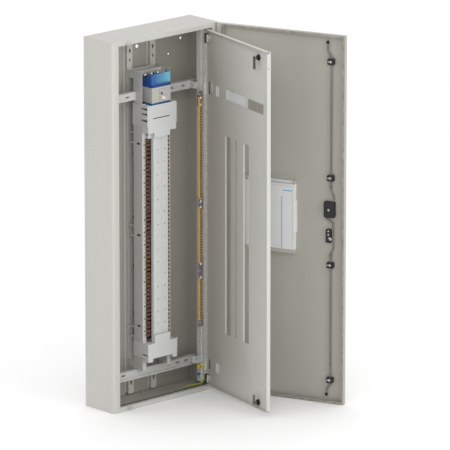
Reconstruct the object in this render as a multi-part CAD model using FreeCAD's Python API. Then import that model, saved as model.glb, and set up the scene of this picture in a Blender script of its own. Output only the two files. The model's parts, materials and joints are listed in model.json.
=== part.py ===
"""Wall-mounted distribution switchboard cabinet with an outer door, an inner door and a busbar board.

Frame: X to the right, Y to the back (the wall side), Z up, seen from the front of the cabinet.
The origin is the centre of the cabinet's underside. Units are millimetres.
Both doors are modelled closed, then turned about their hinge pins to the stored open position.
"""
import FreeCAD, Part
import math
import os

from FreeCAD import Vector as V

# ---- driving dimensions -------------------------------------------------
WIDTH = 600.0
DEPTH = 180.0
HEIGHT = 1600.0
SHEET = 1.5
EDGE_R = 10.0               # rounded vertical edges at the front
FRONT = -DEPTH / 2
BACK = DEPTH / 2
HALF_W = WIDTH / 2
PLATE_T = 2.0               # removable top and bottom plates

OPEN_X = 264.0              # half width of the front opening
OPEN_Z0 = 20.0
OPEN_Z1 = 1580.0
LIP_RETURN = 18.0           # depth of the folded edge round the opening

POLE = 18.0                 # width of one breaker pole
POLES_PER_SIDE = 48
BOARD_X = 8.0               # middle of the busbar board
BOARD_Z0 = 284.0            # lowest pole position, middle of the pole

OUTER_ANGLE = 111.7         # stored opening of the outer door, degrees
OUTER_PIVOT = V(290.2, -100.9, 0)
OUTER_W = 592.0
OUTER_H = 1598.0
OUTER_SKIN_Y = -114.0
OUTER_FLANGE = 21.0

INNER_ANGLE = 78.19         # stored opening of the inner door, degrees
INNER_X0 = -260.0
INNER_X1 = 256.0
INNER_Z0 = 24.0
INNER_Z1 = 1576.0
INNER_SKIN_Y = -84.7
INNER_FLANGE = 18.0
INNER_PIVOT = V(244.8, -80.7, 0)

RUN_GAP = 0.05              # radial running clearance of pins and shafts
PIN_R = 2.5                 # hinge pins of the outer door
INNER_PIN_R = 2.0
OUTER_HINGE_Z = [110.0, 800.0, 1490.0]
INNER_HINGE_Z = [45.0, 1535.0]

LATCH_X = -225.0            # handle spindle and pinion
LATCH_Z = 845.0
LATCH_Y = -104.0            # middle plane of the pinion, racks and rods
MODULE = 2.0
PINION_TEETH = 14
PINION_R = MODULE * PINION_TEETH / 2
ROD_R = 3.5
ROD_X = -230.0
ROD_TIP_X = -213.0
GUIDE_Z = [100.0, 603.0, 981.0, 1482.0]
KEEPER_Z = [13.0, 1587.0]

RAIL_FRONT_Y = 72.0         # front faces of the two rear rails
RAIL_SPAN = 130.0
CHASSIS_HALF = 79.0
CHASSIS_FRONT = -19.0
CHASSIS_Z0 = 128.0
CHASSIS_Z1 = 1424.0
SHROUD_HALF = 81.5
SHROUD_FRONT = -57.0
SHROUD_BACK = 37.0
COVER_HALF = 41.0
COVER_FRONT = -48.0
SWITCH_HALF = 52.5
SWITCH_FRONT = -52.0
SWITCH_Z0 = 1248.0
SWITCH_BACK = 34.0
SWITCH_Z1 = 1418.0
SWITCH_FACIA = (1294.0, 1360.0)
POST = (249.0, 274.0, -36.0, -8.0)

X = V(1, 0, 0)
Y = V(0, 1, 0)
Z = V(0, 0, 1)


# ---- small helpers ------------------------------------------------------
def box(x0, x1, y0, y1, z0, z1):
    return Part.makeBox(x1 - x0, y1 - y0, z1 - z0, V(x0, y0, z0))


def cyl(r, height, base, axis=Z):
    return Part.makeCylinder(r, height, base, axis)


def fuse(shapes):
    shapes = list(shapes)
    if len(shapes) == 1:
        return shapes[0]
    return shapes[0].fuse(shapes[1:]).removeSplitter()


def cut(shape, tools):
    return shape.cut(list(tools))


def group(shapes):
    """Separate solids that share one node."""
    solids = []
    for shape in shapes:
        solids.extend(shape.Solids)
    return Part.makeCompound(solids)


def edges_along(shape, axis, keep=lambda middle: True):
    found = []
    for edge in shape.Edges:
        if not isinstance(edge.Curve, Part.Line):
            continue
        ends = edge.Vertexes[1].Point - edge.Vertexes[0].Point
        if ends.cross(axis).Length > 1e-6 * max(1.0, ends.Length):
            continue
        if keep(edge.CenterOfMass):
            found.append(edge)
    return found


def rounded(shape, axis, r, keep=lambda middle: True):
    return shape.makeFillet(r, edges_along(shape, axis, keep))


def obround(length, width, depth, centre, long_axis, through):
    """A slot cutter: length along long_axis, cut along through, centred on centre."""
    half = (length - width) / 2
    start = centre - through * (depth / 2)
    ends = [cyl(width / 2, depth, start + long_axis * side, through) for side in (-half, half)]
    across = V(*[abs(c) for c in long_axis.cross(through)])
    size = long_axis * (2 * half) + across * width + through * depth
    low = centre - size * 0.5
    middle = Part.makeBox(size.x, size.y, size.z, low)
    return fuse([middle] + ends)


def turned(shape, pivot, angle):
    result = shape.copy()
    result.rotate(pivot, Z, angle)
    return result


def open_outer(shape):
    return turned(shape, OUTER_PIVOT, OUTER_ANGLE)


def open_inner(shape):
    return turned(shape, INNER_PIVOT, INNER_ANGLE)


def bent_rod(points, r):
    """A round bar along straight runs with ball corners."""
    pieces = []
    for a, b in zip(points, points[1:]):
        pieces.append(cyl(r, (b - a).Length, a, b - a))
    for corner in points[1:-1]:
        pieces.append(Part.makeSphere(r, corner))
    return fuse(pieces)


def pan_screw(head_r, head_h, shank_r, shank_l, at, out):
    """A screw with a domed head: at is the bearing point, out points away from the work."""
    head = cyl(head_r, head_h, at, out)
    rim = [e for e in head.Edges if isinstance(e.Curve, Part.Circle)]
    rim.sort(key=lambda e: (e.CenterOfMass - at).dot(out))
    head = head.makeFillet(head_h * 0.6, [rim[-1]])
    shank = cyl(shank_r, shank_l, at, out * -1)
    return fuse([head, shank])


# ---- enclosure ----------------------------------------------------------
def body_profile(z0, z1, inset=0.0):
    shape = box(-HALF_W + inset, HALF_W - inset, FRONT + inset, BACK - inset, z0, z1)
    shape = rounded(shape, Z, EDGE_R - inset, lambda m: m.y < 0)
    return rounded(shape, Z, 3.0 - min(inset, 1.5), lambda m: m.y > 0)


WALL_FIX_X = 245.0
WALL_FIX_Z = (92.0, 1508.0)
WALL_FIX_R = 5.0
CABLE_HOLE = (-2.0, 1511.0, 7.5)
SPARE_HOLE = (176.0, 1450.0, 4.0)
PLATE_SCREWS = [(x, y) for x in (-220.0, 8.0, 236.0) for y in (-44.0, 70.0)]


def enclosure_body():
    outer = body_profile(PLATE_T, HEIGHT - PLATE_T)
    hollow = body_profile(PLATE_T + SHEET, HEIGHT - PLATE_T - SHEET, SHEET)
    ring_cut = box(-HALF_W + 24, HALF_W - 24, FRONT + 58, BACK - 34, 0, HEIGHT)
    front_cut = box(-OPEN_X, OPEN_X, FRONT - 1, FRONT + 3, OPEN_Z0, OPEN_Z1)
    shell = cut(outer, [hollow, ring_cut, front_cut])
    lip_out = box(-OPEN_X - SHEET, OPEN_X + SHEET, FRONT + 0.5, FRONT + LIP_RETURN,
                  OPEN_Z0 - SHEET, OPEN_Z1 + SHEET)
    lip_in = box(-OPEN_X, OPEN_X, FRONT - 1, FRONT + 30, OPEN_Z0, OPEN_Z1)
    shell = fuse([shell, lip_out.cut(lip_in)])
    holes = [cyl(WALL_FIX_R, 10, V(x, BACK - 5, z), Y)
             for x in (-WALL_FIX_X, WALL_FIX_X) for z in WALL_FIX_Z]
    holes += [cyl(r, 10, V(x, BACK - 5, z), Y) for x, z, r in (CABLE_HOLE, SPARE_HOLE)]
    holes += [cyl(2.6, 10, V(x, y, z), Z) for x, y in PLATE_SCREWS for z in (-1, HEIGHT - 9)]
    return cut(shell, holes)


def top_plate():
    plate = body_profile(HEIGHT - PLATE_T, HEIGHT)
    return cut(plate, [cyl(2.6, 5, V(x, y, HEIGHT - 4), Z) for x, y in PLATE_SCREWS])


def bottom_plate():
    plate = body_profile(0, PLATE_T)
    return cut(plate, [cyl(2.6, 5, V(x, y, -1), Z) for x, y in PLATE_SCREWS])


def plate_screws():
    top = [pan_screw(5.5, 3.0, 2.5, 9, V(x, y, HEIGHT), Z) for x, y in PLATE_SCREWS]
    bottom = [pan_screw(5.5, 3.0, 2.5, 3.3, V(x, y, PLATE_T + SHEET), Z) for x, y in PLATE_SCREWS]
    return top + bottom


def opening_gasket():
    """Rubber edging on the inner end of the folded edge round the opening."""
    y0 = FRONT + LIP_RETURN
    outer = box(-OPEN_X - 2.5, OPEN_X + 2.5, y0, y0 + 6, OPEN_Z0 - 2.5, OPEN_Z1 + 2.5)
    inner = box(-OPEN_X + 2, OPEN_X - 2, y0 - 1, y0 + 7, OPEN_Z0 + 2, OPEN_Z1 - 2)
    return outer.cut(inner)


# ---- frame inside the enclosure ----------------------------------------
def rear_rails():
    return group([rear_rail(BOARD_X - RAIL_SPAN / 2), rear_rail(BOARD_X + RAIL_SPAN / 2)])


def rear_rail(x):
    """A hat-section rail with its open side on the back panel."""
    half = 15.0
    z0, z1 = 8, HEIGHT - 8
    web = rounded(box(x - half, x + half, RAIL_FRONT_Y, RAIL_FRONT_Y + 1.5, z0, z1), Y, 4.0)
    shapes = [web]
    for s in (-1, 1):
        side = x + s * (half - 0.75)
        foot = x + s * (half + 3.25)
        shapes.append(box(side - 0.75, side + 0.75, RAIL_FRONT_Y + 1, BACK - SHEET, z0 + 4, z1 - 4))
        shapes.append(box(foot - 4, foot + 4, BACK - SHEET - 1.5, BACK - SHEET, z0 + 4, z1 - 4))
    slots = [obround(18, 8, 8, V(x, RAIL_FRONT_Y, z), Z, Y) for z in (56, 1503)]
    slots += [obround(14, 6, 8, V(x, RAIL_FRONT_Y, z), Z, Y) for z in (95, 1463, 1540)]
    slots += [cyl(3.1, 8, V(x, RAIL_FRONT_Y - 4, z), Y) for z in RAIL_BOLT_Z]
    return cut(fuse(shapes), slots)


RAIL_BOLT_Z = (150.0, 1400.0)


def rail_bolts():
    bolts = []
    for x in (BOARD_X - RAIL_SPAN / 2, BOARD_X + RAIL_SPAN / 2):
        for z in RAIL_BOLT_Z:
            head = hexagon(5.0, 4.0, V(x, RAIL_FRONT_Y - 2, z), V(0, -1, 0))
            bolts.append(fuse([head, cyl(3, 10, V(x, RAIL_FRONT_Y - 2, z), Y)]))
    return bolts


def hexagon(r, height, base, axis):
    side = X if abs(axis.x) < 0.5 else Z
    other = axis.cross(side)
    points = []
    for i in range(6):
        angle = math.radians(60 * i)
        points.append(base + side * (r * math.cos(angle)) + other * (r * math.sin(angle)))
    face = Part.Face(Part.makePolygon(points + [points[0]]))
    return face.extrude(axis * height)


ARM_Y = 17.6
ARM_Z = (1304.0, 1339.0)


def arm(x0, x1, z0, z1, y):
    """A sheet channel with its web to the front and its flanges to the back."""
    outer = box(x0, x1, y, y + 22, z0, z1)
    inner = box(x0 - 1, x1 + 1, y + 2, y + 23, z0 + 2, z1 - 2)
    return outer.cut(inner)


def upper_arms():
    spans = ((-HALF_W + SHEET, BOARD_X - CHASSIS_HALF), (BOARD_X + CHASSIS_HALF, HALF_W - SHEET))
    slots = [obround(20, 7, 8, V(x, ARM_Y, 1321.5), X, Y) for x in (-250, -120, 130, 195)]
    return group([cut(arm(x0, x1, ARM_Z[0], ARM_Z[1], ARM_Y), slots) for x0, x1 in spans])


def post_brackets():
    """Pressed brackets from the post back to the upper arm and to the lower cross rail."""
    shapes = []
    for z0, z1, back in ((ARM_Z[0] + 3, ARM_Z[1] - 3, ARM_Y), (LOWER_Z[0] + 4, LOWER_Z[1] - 3, ARM_Y)):
        outer = box(POST[0] - 14, POST[0], POST[3] - 8, back, z0, z1)
        hollow = box(POST[0] - 12, POST[0] + 1, POST[3] - 6, back - 2, z0 - 1, z1 + 1)
        bore = cyl(2.1, 10, V(POST[0] - 18, 3, (z0 + z1) / 2), X)
        shapes.append(cut(outer, [hollow, bore]))
    return group(shapes)


def frame_screws():
    """The plate screws, the chassis bolts, and the screws of the post brackets and the cable clamp."""
    levels = ((ARM_Z[0] + ARM_Z[1]) / 2, (LOWER_Z[0] + LOWER_Z[1] + 1) / 2)
    shapes = [pan_screw(5.0, 3.0, 2.0, 5, V(POST[0] - 14, 3, z), V(-1, 0, 0)) for z in levels]
    shapes.append(pan_screw(4.5, 2.5, 2.0, 6, V(CLAMP[0] + 8, CLAMP[2], 131), V(0, -1, 0)))
    return group(shapes + plate_screws() + rail_bolts())


LOWER_Z = (97.0, 128.0)


def lower_cross_rail():
    x0, x1 = -HALF_W + SHEET, HALF_W - SHEET
    z0, z1 = LOWER_Z
    web = box(x0, x1, ARM_Y, ARM_Y + 2, z0, z1)
    top = box(x0, x1, ARM_Y, ARM_Y + 20, z1 - 2, z1)
    shelf = box(x0, x1, ARM_Y - 6, ARM_Y + 2, z0, z0 + 2)
    lip = box(x0, x1, ARM_Y - 6, ARM_Y - 4, z0 - 7, z0 + 2)
    slots = [obround(22, 8, 6, V(x, ARM_Y, z0 + 17), X, Y) for x in (-250, -200, -150, 110, 160, 210)]
    return cut(fuse([web, top, shelf, lip]), slots)


CLAMP = (212.0, 249.0, -34.0, -18.0, 110.0, 140.0)


def cable_clamp():
    x0, x1, y0, y1, z0, z1 = CLAMP
    block = rounded(box(x0, x1, y0, y1, z0, z1), Y, 3.0, lambda m: m.x < x1 - 5)
    channel = box(x0 + 13, x1 - 6, y0 + 5, y1 + 1, z0 - 1, z1 + 1)
    return cut(block, [channel, cyl(2.1, 20, V(x0 + 8, y0 - 1, 131), Y)])


def hinge_post():
    x0, x1, y0, y1 = POST
    outer = rounded(box(x0, x1, y0, y1, 22, 1575), Z, 4.0, lambda m: m.y < (y0 + y1) / 2)
    inner = box(x0 + 2, x1 - 2, y0 + 2, y1 + 1, 21, 1576)
    post = outer.cut(inner)
    holes = [cyl(3, 6, V(x0 - 2, -22, z), X) for z in (196, 830, 1450)]
    holes += [cyl(2.6, 6, V((x0 + x1) / 2, y0 - 2, z), Y) for z in range(180, 1500, 60)]
    return cut(post, holes)


# ---- busbar board -------------------------------------------------------
def pole_z(i):
    return BOARD_Z0 + POLE * i


def chassis():
    left = BOARD_X - CHASSIS_HALF
    right = BOARD_X + CHASSIS_HALF
    outer = box(left, right, CHASSIS_FRONT, RAIL_FRONT_Y, CHASSIS_Z0, CHASSIS_Z1)
    hollow = box(left + 2, right - 2, CHASSIS_FRONT + 2, RAIL_FRONT_Y - 2, CHASSIS_Z0 - 1, CHASSIS_Z1 + 1)
    mouth = box(left + 20, right - 20, CHASSIS_FRONT - 1, CHASSIS_FRONT + 3, CHASSIS_Z0 - 1, CHASSIS_Z1 + 1)
    cuts = [hollow, mouth]
    cuts.append(box(left + 2, right - 2, CHASSIS_FRONT - 1, CHASSIS_FRONT + 3, 1290, CHASSIS_Z1 + 1))
    levels = [160, 270, 314, 711, 755, 1116, 1160, 1395]
    for z0, z1 in zip(levels, levels[1:]):
        cuts.append(box(left - 1, right + 1, 35, 70, z0 + 3, z1 - 3))
    for z in (322.5, 719.5, 1116.5):
        cuts.append(obround(22, 9, 400, V(BOARD_X, 5.5, z), Y, X))
    for i in range(0, POLES_PER_SIDE, 3):
        for x in (left + 11, right - 11):
            cuts.append(cyl(1.8, 6, V(x, CHASSIS_FRONT - 2, pole_z(i) + POLE), Y))
    for side in (-1, 1):
        for z in (150.0, 1400.0):
            cuts.append(cyl(3.1, 8, V(BOARD_X + side * RAIL_SPAN / 2, RAIL_FRONT_Y - 4, z), Y))
    back_windows = [box(left + 40, right - 40, RAIL_FRONT_Y - 4, RAIL_FRONT_Y + 1, z, z + 180)
                    for z in (300, 560, 820)]
    return cut(outer, cuts + back_windows)


def switch_plate():
    left = BOARD_X - CHASSIS_HALF + 2
    right = BOARD_X + CHASSIS_HALF - 2
    plate = box(left, right, SWITCH_BACK, SWITCH_BACK + 2, 1240, 1420)
    tabs = [box(x, x + 2, SWITCH_BACK - 18, SWITCH_BACK + 1, 1240, 1420) for x in (left, right - 2)]
    return cut(fuse([plate] + tabs), [cyl(2.1, 8, V(x, SWITCH_BACK - 3, z), Y) for x, z in switch_fixings()])


def switch_fixings():
    return [(BOARD_X + sx * 17.5, z) for sx in (-1, 1) for z in (SWITCH_Z0 + 26, SWITCH_Z1 - 28)]


BAR_X = (-18.0, 0.0, 18.0)
BAR_Y = (-20.5, -15.5)
BAR_Z = (262.0, 1218.0)
FINGER_Y = (-28.5, -25.5)
FINGER_HALF = 66.0
BAR_JOINT_Z = 1200.0


def busbar(phase):
    x = BOARD_X + BAR_X[phase]
    parts = [box(x - 7, x + 7, BAR_Y[0], BAR_Y[1], BAR_Z[0], BAR_Z[1])]
    for i in range(phase, POLES_PER_SIDE, 3):
        z = pole_z(i)
        parts.append(box(BOARD_X - FINGER_HALF, BOARD_X + FINGER_HALF, *FINGER_Y, z - 5.5, z + 5.5))
        parts.append(box(x - 6, x + 6, FINGER_Y[1], BAR_Y[0], z - 5.5, z + 5.5))
    return cut(fuse(parts), [cyl(3.1, 12, V(x, BAR_Y[0] - 3, BAR_JOINT_Z), Y)])


SUPPORT_Z = [(274.0, 10), (360.0, 24), (566.0, 10), (782.0, 10), (1058.0, 24), (1150.0, 10)]


def busbar_supports():
    """Moulded combs that carry the bars on stand-offs from the chassis back."""
    combs = []
    for z, half in SUPPORT_Z:
        comb = box(BOARD_X - 56, BOARD_X + 56, BAR_Y[0], -9, z - half, z + half)
        slots = [box(BOARD_X + bx - 7.1, BOARD_X + bx + 7.1, BAR_Y[0] - 1, BAR_Y[1] + 0.1,
                     z - half - 1, z + half + 1) for bx in BAR_X]
        legs = [box(BOARD_X + s * 46 - 5, BOARD_X + s * 46 + 5, -9, RAIL_FRONT_Y - 2, z - 8, z + 8)
                for s in (-1, 1)]
        combs.append(fuse([cut(comb, slots)] + legs))
    return group(combs)


COVER_Z = (262.0, 1152.0)
COVER_DEPTH = 16.0
RIVET_DZ = 3 * POLE


def busbar_cover():
    left = BOARD_X - COVER_HALF
    right = BOARD_X + COVER_HALF
    z0, z1 = COVER_Z
    back = COVER_FRONT + COVER_DEPTH
    outer = rounded(box(left, right, COVER_FRONT, back, z0, z1), Z, 2.0, lambda m: m.y < COVER_FRONT + 5)
    inner = box(left + 2, right - 2, COVER_FRONT + 2, back + 1, z0 - 1, z1 + 1)
    crease = box(BOARD_X + 3.5, BOARD_X + 5, COVER_FRONT - 1, COVER_FRONT + 0.7, z0 - 1, z1 + 1)
    ribs = [box(BOARD_X + s * 31 - 1, BOARD_X + s * 31 + 1, COVER_FRONT + 1, back - 1, z - 8, z + 8)
            for s in (-1, 1) for z in rivet_levels()[::3]]
    bores = [cyl(1.9, 6, V(x, COVER_FRONT - 1, z), Y) for x, z in rivet_places()]
    return cut(fuse([outer.cut(inner)] + ribs), [crease] + bores)


def rivet_levels():
    return [279.0 + RIVET_DZ * i for i in range(16)]


def rivet_places():
    return [(BOARD_X + dx, z) for dx in (-19.5, 19.5) for z in rivet_levels()]


def cover_rivets():
    return group([pan_screw(3.2, 1.4, 1.8, 4, V(x, COVER_FRONT, z), V(0, -1, 0))
                  for x, z in rivet_places()])


def shroud_side_slots(levels):
    left = BOARD_X - SHROUD_HALF
    return [box(left - 1, left + 6, SHROUD_FRONT + 2.5, -9, z - 4, z + 4) for z in levels]


def hollow_block(x0, x1, y0, y1, z0, z1, wall, open_sides):
    """A thin-walled box. open_sides lists the faces left open, such as 'back' or 'top'."""
    outer = box(x0, x1, y0, y1, z0, z1)
    ix0, ix1 = x0 + wall, x1 - wall
    iy0, iy1 = y0 + wall, y1 + (1 if "back" in open_sides else -wall)
    iz0 = z0 + (-1 if "bottom" in open_sides else wall)
    iz1 = z1 + (1 if "top" in open_sides else -wall)
    return outer.cut(box(ix0, ix1, iy0, iy1, iz0, iz1))


def top_shroud():
    left = BOARD_X - SHROUD_HALF
    right = BOARD_X + SHROUD_HALF
    front = SHROUD_FRONT
    stop = CHASSIS_FRONT - 0.3
    head = hollow_block(left, right, front, SHROUD_BACK, 1196, 1287, 2.2, ("back", "top", "bottom"))
    head = rounded(head, Z, 2.0, lambda m: m.y < front + 0.1)
    foot = hollow_block(left + 3, right - 3, front, stop, 1168, 1198, 2.2, ("back", "top", "bottom"))
    sill = box(left, right, front, stop, 1196, 1198.2)
    sill = sill.cut(box(BOARD_X - 62, BOARD_X + 62, front + 10, stop + 1, 1190, 1200))
    skirt = hollow_block(BOARD_X - 62, BOARD_X + 62, front + 18, stop, 1142, 1199, 2.2,
                         ("back", "top", "bottom"))
    neck = hollow_block(BOARD_X - 43.5, BOARD_X + 43.5, front, front + 20, 1146, 1172, 2.2,
                        ("back", "top", "bottom"))
    roofs = [box(x, x + 24, front, stop, 1284.8, 1287) for x in (left, right - 24)]
    teeth = [box(right - 1, right + 3, front, front + 6, z, z + 7) for z in range(1200, 1280, 14)]
    shape = fuse([head, foot, sill, skirt, neck] + roofs + teeth)
    slit = box(BOARD_X - 49, BOARD_X + 43, front - 1, front + 3, 1228.2, 1232)
    window = box(BOARD_X - 41.3, BOARD_X + 41.3, front + 3, front + 22, 1140, 1160)
    hole = cyl(5, 12, V(BOARD_X - 66, -29, 1159), X)
    return cut(shape, shroud_side_slots((1273, 1251, 1223)) + [slit, window, hole])


def bottom_shroud():
    left = BOARD_X - SHROUD_HALF
    right = BOARD_X + SHROUD_HALF
    front = SHROUD_FRONT
    stop = CHASSIS_FRONT - 0.3
    head = hollow_block(left, right, front, SHROUD_BACK, 186, 252, 2.2, ("back",))
    head = head.cut(box(left + 2.2, right - 2.2, stop, SHROUD_BACK + 1, 180, 260))
    head = head.cut(box(BOARD_X - 41.3, BOARD_X + 41.3, front + 2.2, stop + 1, 249, 260))
    head = rounded(head, Z, 2.0, lambda m: m.y < front + 0.1)
    neck = hollow_block(BOARD_X - 43.5, BOARD_X + 43.5, front, front + 20, 250, 287, 2.2,
                        ("back", "top", "bottom"))
    teeth = [box(right - 1, right + 3, front, front + 6, z, z + 7) for z in range(190, 250, 14)]
    feet = [box(left, left + 26, front, front + 20, 172, 187),
            box(right - 22, right, front, front + 12, 172, 187)]
    shape = fuse([head, neck] + teeth + feet)
    return cut(shape, [box(left - 3, left + 4, front + 3, front + 36, 199, 205)])


def main_switch_case():
    """The switch's moulded body with its three pairs of terminal bays and the well for the handle."""
    left = BOARD_X - SWITCH_HALF
    right = BOARD_X + SWITCH_HALF
    z0, z1 = SWITCH_BASE_Z
    base = box(left, right, SWITCH_FRONT + 10, SWITCH_BACK, z0, z1)
    bays = [box(BOARD_X + x - 14, BOARD_X + x + 14, SWITCH_FRONT + 16, 22, a, b)
            for x in (-35, 0, 35) for a, b in ((z0 - 1, z0 + 18), (z1 - 18, z1 + 1))]
    axle = cyl(TOGGLE_PIN_R + RUN_GAP, 20, TOGGLE_PIVOT - X * 10, X)
    return cut(base, bays + [toggle_well(), axle] + switch_bores())


def main_switch_facia():
    """The grey front plate of the switch with a raised panel round the handle."""
    left = BOARD_X - SWITCH_HALF
    right = BOARD_X + SWITCH_HALF
    front = SWITCH_FRONT
    z0, z1 = SWITCH_FACIA
    plate = rounded(box(left, right, front, front + 10, z0, z1), X, 2.0, lambda m: m.y < front + 3)
    panel = rounded(box(BOARD_X - 12, BOARD_X + 37, front - 3, front + 2, 1301, 1350), Y, 3.0)
    recess = box(BOARD_X + 13, BOARD_X + 33, front - 4, front - 2, 1306, 1345)
    label = box(left + 5, BOARD_X - 16, front - 0.8, front + 1, 1302, 1350)
    return cut(fuse([plate, panel, label]), [toggle_well(), recess] + switch_bores())


def toggle_well():
    return box(BOARD_X - 7, BOARD_X + 7, SWITCH_FRONT - 9, SWITCH_FRONT + 18.5, TOGGLE_PIVOT.z - 13,
               TOGGLE_PIVOT.z + 13)


def switch_bores():
    return [cyl(2.1, 120, V(x, -60, z), Y) for x, z in switch_fixings()]


SWITCH_BASE_Z = (SWITCH_Z0 + 20, SWITCH_Z1 - 22)
TOGGLE_PIVOT = V(BOARD_X, SWITCH_FRONT + 12.5, 1325)
TOGGLE_PIN_R = 1.5


def terminal_cover(z0, z1, open_end):
    left = BOARD_X - SWITCH_HALF
    right = BOARD_X + SWITCH_HALF
    shell = hollow_block(left, right, SWITCH_FRONT + 1, -22, z0, z1, 2.0, ("back", open_end))
    ribs = [box(BOARD_X + x - 0.8, BOARD_X + x + 0.8, SWITCH_FRONT + 2, -45.5, z0 + 2, z1 - 2)
            for x in (-17.5, 17.5)]
    return fuse([shell] + ribs)


def switch_cover_upper():
    z0 = SWITCH_FACIA[1] + 0.2
    cover = terminal_cover(z0, SWITCH_Z1, "top")
    tab = box(BOARD_X + 28, BOARD_X + 38, SWITCH_FRONT - 0.2, SWITCH_FRONT + 2, 1375, 1381)
    clear = box(-200, 200, SWITCH_FRONT + 9.8, 0, z0 - 1, SWITCH_BASE_Z[1] + 0.2)
    return cut(fuse([cover, tab]), [clear])


def switch_cover_lower():
    z1 = SWITCH_FACIA[0] - 0.2
    cover = terminal_cover(SWITCH_Z0, z1, "bottom")
    return cut(cover, [box(-200, 200, SWITCH_FRONT + 9.8, 0, SWITCH_BASE_Z[0] - 0.2, z1 + 1)])


def switch_terminals():
    pads = []
    z0, z1 = SWITCH_BASE_Z
    for x in (-35, 0, 35):
        for a, b, hole in ((z0 - 12, z0 + 18, z0 - 3), (z1 - 18, z1 + 18, z1 + 9)):
            pad = box(BOARD_X + x - 10, BOARD_X + x + 10, 4, 8, a, b)
            pads.append(cut(pad, [cyl(4.2, 10, V(BOARD_X + x, 0, hole), Y)]))
    return group(pads)


def switch_screws():
    """Fixing screws of the switch, its six terminal bolts and the three joint bolts of the busbars."""
    screws = [pan_screw(3.6, 2.2, 1.9, 84, V(x, SWITCH_FRONT + 10, z), V(0, -1, 0))
              for x, z in switch_fixings()]
    for x in (-35, 0, 35):
        for y, z in ((1.5, SWITCH_BASE_Z[0] - 3), (4.0, SWITCH_BASE_Z[1] + 9)):
            head = hexagon(6.0, 4.0, V(BOARD_X + x, y - 1.5, z), V(0, -1, 0))
            washer = cyl(7.0, 1.5, V(BOARD_X + x, y - 1.5, z), Y)
            shank = cyl(4.0, 14, V(BOARD_X + x, y, z), Y)
            screws.append(fuse([head, washer, shank]))
    for x in BAR_X:
        head = hexagon(5.5, 4.0, V(BOARD_X + x, BAR_Y[0], BAR_JOINT_Z), V(0, -1, 0))
        screws.append(fuse([head, cyl(3.0, 12, V(BOARD_X + x, BAR_Y[0], BAR_JOINT_Z), Y)]))
    return group(screws)


def switch_links():
    """Three bars from the switch's lower terminals down to the tops of the busbars."""
    links = []
    top = SWITCH_BASE_Z[0] - 12
    y0, y1 = BAR_Y[1], BAR_Y[1] + 3
    for x_top, x_bar in zip((-35, 0, 35), BAR_X):
        pad = box(BOARD_X + x_top - 9, BOARD_X + x_top + 9, 1.5, 4.0, top - 4, top + 19)
        shelf = box(BOARD_X + x_top - 9, BOARD_X + x_top + 9, y0, 4.0, top - 4, top)
        low = BOARD_X + min(x_top, x_bar) - 7
        high = BOARD_X + max(x_top, x_bar) + 7
        run = box(low, high, y0, y1, top - 28, top)
        tail = box(BOARD_X + x_bar - 7, BOARD_X + x_bar + 7, y0, y1, BAR_JOINT_Z - 18, top - 27)
        bores = [cyl(4.2, 10, V(BOARD_X + x_top, -2, SWITCH_BASE_Z[0] - 3), Y),
                 cyl(3.1, 10, V(BOARD_X + x_bar, y0 - 2, BAR_JOINT_Z), Y)]
        links.append(cut(fuse([pad, shelf, run, tail]), bores))
    return group(links)


def main_switch_toggle():
    """The operating handle, pivoted behind the front of the switch and stored tilted down (off)."""
    at = TOGGLE_PIVOT
    hub = cyl(4.0, 13, at - X * 6.5, X)
    axle = cyl(TOGGLE_PIN_R, 19, at - X * 9.5, X)
    stem = box(at.x - 4, at.x + 4, at.y - 22, at.y, at.z - 3, at.z + 3)
    grip = rounded(box(at.x - 6, at.x + 6, at.y - 34, at.y - 20, at.z - 5, at.z + 5), X, 1.5)
    return turned_about_x(fuse([hub, axle, stem, grip]), at, TOGGLE_REST)


def turned_about_x(shape, pivot, angle):
    result = shape.copy()
    result.rotate(pivot, X, angle)
    return result


TOGGLE_REST = 20.0          # stored tilt, downwards


# ---- neutral and earth bars on the post --------------------------------
LINK_BARS = {"upper": (833.0, 1279.0), "middle": (553.0, 800.0), "lower": (302.0, 488.0)}
LINK_X = (223.5, 240.5)
LINK_Y = (-52.0, -44.0)
LINK_PITCH = 12.0


def link_bars():
    return group([link_bar(name) for name in LINK_BARS])


def link_bar(name):
    z0, z1 = LINK_BARS[name]
    bar = rounded(box(LINK_X[0], LINK_X[1], LINK_Y[0], LINK_Y[1], z0, z1), Z, 0.8)
    middle = (LINK_X[0] + LINK_X[1]) / 2
    bores = [cyl(2.0, 5.5, V(middle, LINK_Y[0] - 1, z), Y) for z in link_screw_levels(name)]
    return cut(bar, bores)


def link_screw_levels(name):
    z0, z1 = LINK_BARS[name]
    count = int((z1 - z0 - 16) // LINK_PITCH) + 1
    first = (z0 + z1) / 2 - (count - 1) * LINK_PITCH / 2
    return [first + LINK_PITCH * i for i in range(count)]


def link_bar_screws():
    middle = (LINK_X[0] + LINK_X[1]) / 2
    screws = []
    for name in LINK_BARS:
        for z in link_screw_levels(name):
            head = cyl(3.6, 1.8, V(middle, LINK_Y[0] - 1.8, z), Y)
            groove = box(middle - 4, middle + 4, LINK_Y[0] - 2.5, LINK_Y[0] - 1.0, z - 0.5, z + 0.5)
            shank = cyl(1.9, 4.2, V(middle, LINK_Y[0], z), Y)
            screws.append(fuse([head.cut(groove), shank]))
    return group(screws)


CARRIERS = [(290.0, 272.0, 314.0), (520.5, 474.0, 567.0), (816.5, 786.0, 847.0), (1289.0, 1257.0, 1299.0)]


def link_bar_carriers():
    """Insulating blocks on the post that hold the bar ends, each with a round cap between two bars."""
    blocks = []
    for z, z0, z1 in CARRIERS:
        plate = rounded(box(LINK_X[0] - 2, 271, LINK_Y[1], POST[2], z0, z1), Y, 3.0)
        boss = cyl(7.5, 9, V(232, LINK_Y[0] - 1, z), Y)
        blocks.append(fuse([plate, boss]))
    return group(blocks)


EARTH_POST = V(261.5, POST[2], 92.0)
EARTH_BASE = V(226.0, -62.0, PLATE_T + SHEET)


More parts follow.
